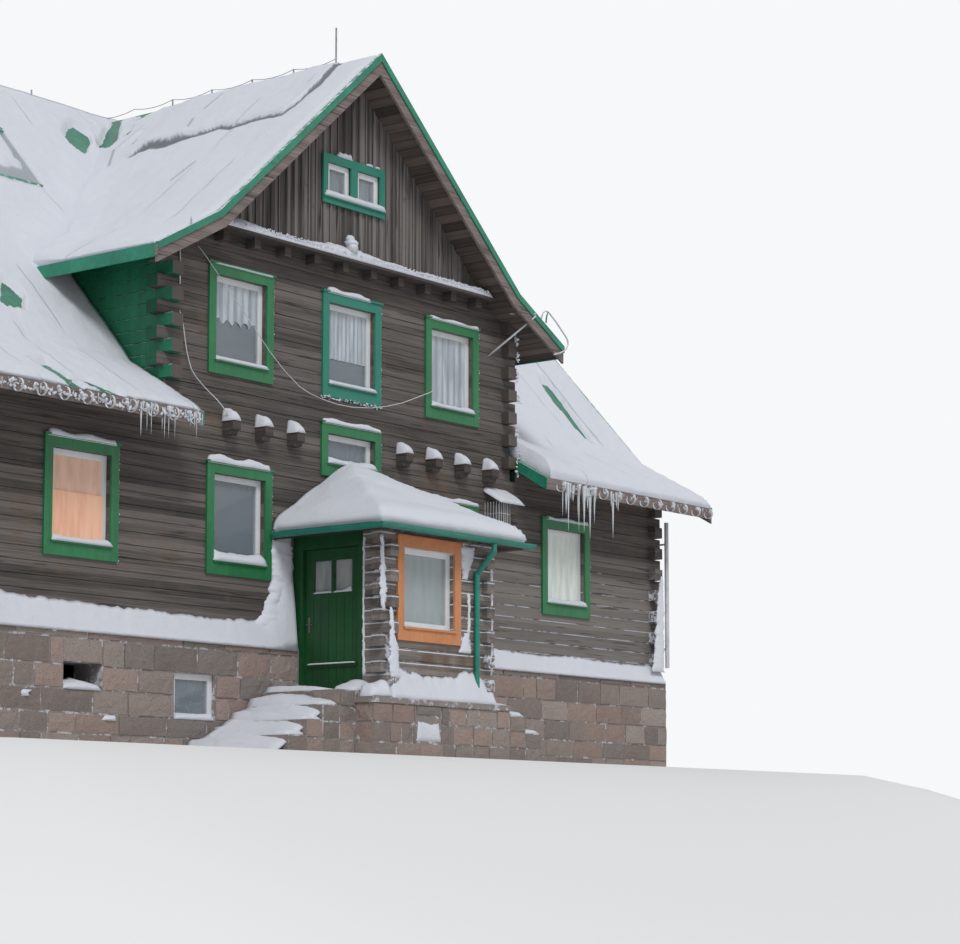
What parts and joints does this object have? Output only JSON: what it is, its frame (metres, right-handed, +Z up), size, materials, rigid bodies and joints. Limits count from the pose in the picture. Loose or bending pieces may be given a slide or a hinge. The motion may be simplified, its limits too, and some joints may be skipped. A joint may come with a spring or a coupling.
{
  "type": "alpine chalet",
  "caption": "Log chalet on a stone base, with a cross wing, flared gable roofs, attic gables and a small hipped porch with a hinged door.",
  "frame": {"origin": "centre of the log body's footprint at ground level, on the underside of the basement floor", "axes": "+X along the front to the right, +Y from the front to the back, +Z up"},
  "size_m": [17.84, 14.0848, 11.4403],
  "materials": {
    "concrete": "rough",
    "stone": "rough ashlar",
    "floor_boards": "bare boards",
    "weathered_logs": "weathered dark brown",
    "green_boards": "painted green",
    "gable_boards": "weathered brown",
    "roof_sheet": "painted green",
    "grey_boards": "weathered grey",
    "green_metal": "painted green",
    "zinc_steel": "dull zinc",
    "window_green": "painted green",
    "white_paint": "painted white",
    "window_glass": "clear",
    "new_wood": "new orange brown"
  },
  "bodies": {
    "house": {"basement_floor": "concrete", "base_wall_front": "stone", "base_wall_back": "stone", "base_wall_left": "stone", "base_wall_right": "stone", "ground_floor": "floor_boards", "upper_floor": "floor_boards", "upper_floor_sides": "floor_boards", "attic_floor": "floor_boards", "front_wall_left": "weathered_logs", "front_wall_right": "weathered_logs", "front_wall_over_door": "weathered_logs", "back_wall": "weathered_logs", "left_wall": "weathered_logs", "right_wall": "weathered_logs", "front_upper_wall": "weathered_logs", "back_upper_wall": "weathered_logs", "end_upper_walls": "weathered_logs", "wing_side_walls": "green_boards", "wing_gables": "gable_boards", "end_gables": "gable_boards", "main_roof_front_left": "roof_sheet", "main_roof_front_right": "roof_sheet", "main_roof_back_left": "roof_sheet", "main_roof_back_right": "roof_sheet", "wing_roof_left": "roof_sheet", "wing_roof_right": "roof_sheet", "bargeboards": "grey_boards", "verge_flashings": "green_metal", "eave_boards": "grey_boards", "wing_eave_boards": "green_metal", "gutter_hooks": "zinc_steel", "floor_beam_ends": "grey_boards", "attic_joist_ends": "grey_boards", "gable_ledges": "gable_boards", "window_surrounds": "window_green", "window_frames": "white_paint", "window_panes": "window_glass", "porch_plinth": "stone", "plinth_stub_wall": "stone", "porch_floor": "floor_boards", "porch_front_wall": "weathered_logs", "porch_left_wall": "weathered_logs", "porch_right_wall": "weathered_logs", "porch_door_frame": "green_boards", "porch_window_surround": "new_wood", "porch_roof": "roof_sheet", "porch_roof_sides": "roof_sheet", "porch_gutter": "green_metal", "porch_steps": "stone", "ridge_posts": "zinc_steel", "roof_window": "green_metal", "wall_lamps": "zinc_steel", "corner_pipe": "zinc_steel", "front_wire": "zinc_steel", "corner_wire": "zinc_steel"},
    "porch_door_leaf": {"porch_door": "green_boards", "porch_door_panes": "window_glass", "porch_door_fittings": "zinc_steel"}
  },
  "joints": [
    {"name": "porch_door_hinge", "type": "hinge", "parent": "house", "child": "porch_door_leaf", "pos_m": [-1.16, -6.706, 0.956], "axis": [0, 0, -1], "range_deg": [0, 90]}
  ]
}
